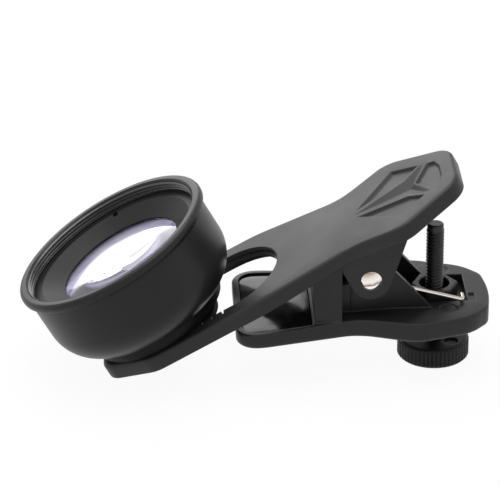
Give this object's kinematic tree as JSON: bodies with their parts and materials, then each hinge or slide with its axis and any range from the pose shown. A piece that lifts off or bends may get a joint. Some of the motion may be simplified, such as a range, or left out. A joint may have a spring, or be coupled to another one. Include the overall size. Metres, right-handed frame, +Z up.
{
  "type": "clip on phone lens",
  "caption": "Macro lens on the slotted arm of a sprung clamp that grips the edge of a phone, with a ribbed thumbscrew through the lower lever.",
  "frame": {"origin": "centre of the thumbscrew knob's foot, on the screw's axis, at the level of what the clip stands on", "axes": "+X from the lens towards the handle, +Y across the clip away from the camera's side, +Z up along the screw"},
  "size_m": [0.0914, 0.041, 0.0408],
  "materials": {
    "lens_metal": "satin black anodised",
    "ring_metal": "matt black anodised",
    "lens_glass": "polished and coated",
    "lever_plastic": "fine grained",
    "jaw_plastic": "satin",
    "collar_plastic": "satin",
    "pad_rubber": "glossy soft pad",
    "rivet_steel": "nickel plated",
    "spring_steel": "plated wire",
    "screw_steel": "black oxide",
    "knob_plastic": "satin"
  },
  "bodies": {
    "lower_clamp": {"lower_lever": "jaw_plastic", "jaw_pad": "pad_rubber", "screw_nut": "screw_steel", "hinge_pin": "rivet_steel", "pin_cap": "rivet_steel", "torsion_spring": "spring_steel"},
    "upper_clamp": {"upper_lever": "lever_plastic", "arm_pad": "pad_rubber"},
    "lens": {"lens_barrel": "lens_metal", "front_retaining_ring": "ring_metal", "front_glass": "lens_glass", "spacer_ring": "ring_metal", "middle_glass": "lens_glass", "rear_glass": "lens_glass", "rear_retaining_ring": "ring_metal", "slide_collar": "collar_plastic", "slide_washer": "collar_plastic", "keeper_ring": "ring_metal"},
    "screw": {"screw_rod": "screw_steel"},
    "thumb_knob": {"knob": "knob_plastic"}
  },
  "joints": [
    {"name": "clamp_hinge", "type": "hinge", "parent": "lower_clamp", "child": "upper_clamp", "pos_m": [-0.01315, 0, 0.0214], "axis": [0, 1, 0], "range_deg": [0, 15], "stiffness_Nm_per_rad": 0.3, "springref_deg": -28.65, "deforming": ["torsion_spring"]},
    {"name": "lens_slide", "type": "slide", "parent": "upper_clamp", "child": "lens", "axis": [0.8731, 0, 0.4876], "range_m": [0, 0.0155]},
    {"name": "screw_travel", "type": "slide", "parent": "lower_clamp", "child": "screw", "axis": [0, 0, 1], "range_m": [-0.00105, 0.0021]},
    {"name": "knob_turn", "type": "hinge", "parent": "screw", "child": "thumb_knob", "pos_m": [0, 0, 0.002], "axis": [0, 0, 1], "range_deg": [-545, 1085]}
  ],
  "couplings": [
    {"joint": "knob_turn", "follows": "screw_travel", "rad_per_m": 8976}
  ]
}
